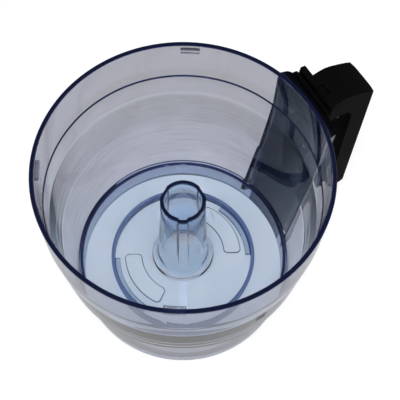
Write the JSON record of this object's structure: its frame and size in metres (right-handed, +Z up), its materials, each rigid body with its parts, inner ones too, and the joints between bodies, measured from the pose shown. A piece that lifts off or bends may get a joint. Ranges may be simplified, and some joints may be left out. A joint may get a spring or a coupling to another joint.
{
  "type": "food processor work bowl",
  "caption": "Clear round work bowl with a hollow centre tube, a bayonet foot, and a black side handle that holds a sprung interlock rod.",
  "frame": {"origin": "under the middle of the box that holds the whole part, on the surface that the foot ring stands on", "axes": "+X from the bowl to the handle, +Z up along the bowl's axis"},
  "size_m": [0.2154, 0.176, 0.1494],
  "materials": {
    "clear_plastic": "polished clear styrene plastic with a blue-grey tint",
    "black_plastic": "fine satin grain",
    "white_plastic": "natural acetal, slightly satin",
    "steel": "zinc-plated or drawn"
  },
  "bodies": {
    "bowl": {"bowl_body": "clear_plastic", "handle_outer_shell": "black_plastic", "handle_inner_plate": "black_plastic", "grip_inner_cover": "black_plastic", "handle_screw_1": "steel", "handle_screw_2": "steel", "handle_screw_3": "steel", "screw_plug_1": "black_plastic", "screw_plug_2": "black_plastic", "screw_plug_3": "black_plastic", "grip_cover_screw_1": "steel", "grip_cover_screw_2": "steel", "rod_guide_upper": "white_plastic", "rod_guide_lower": "white_plastic", "return_spring": "steel"},
    "push_rod": {"interlock_push_rod": "white_plastic", "push_rod_button": "black_plastic", "push_rod_foot": "black_plastic", "spring_washer": "steel", "rod_retaining_clip": "steel"}
  },
  "joints": [
    {"name": "interlock_press", "type": "slide", "parent": "bowl", "child": "push_rod", "axis": [-0.0855, 0, -0.9963], "range_m": [0, 0.005], "stiffness_N_per_m": 300, "springref_m": -0.004, "deforming": ["return_spring"]}
  ]
}
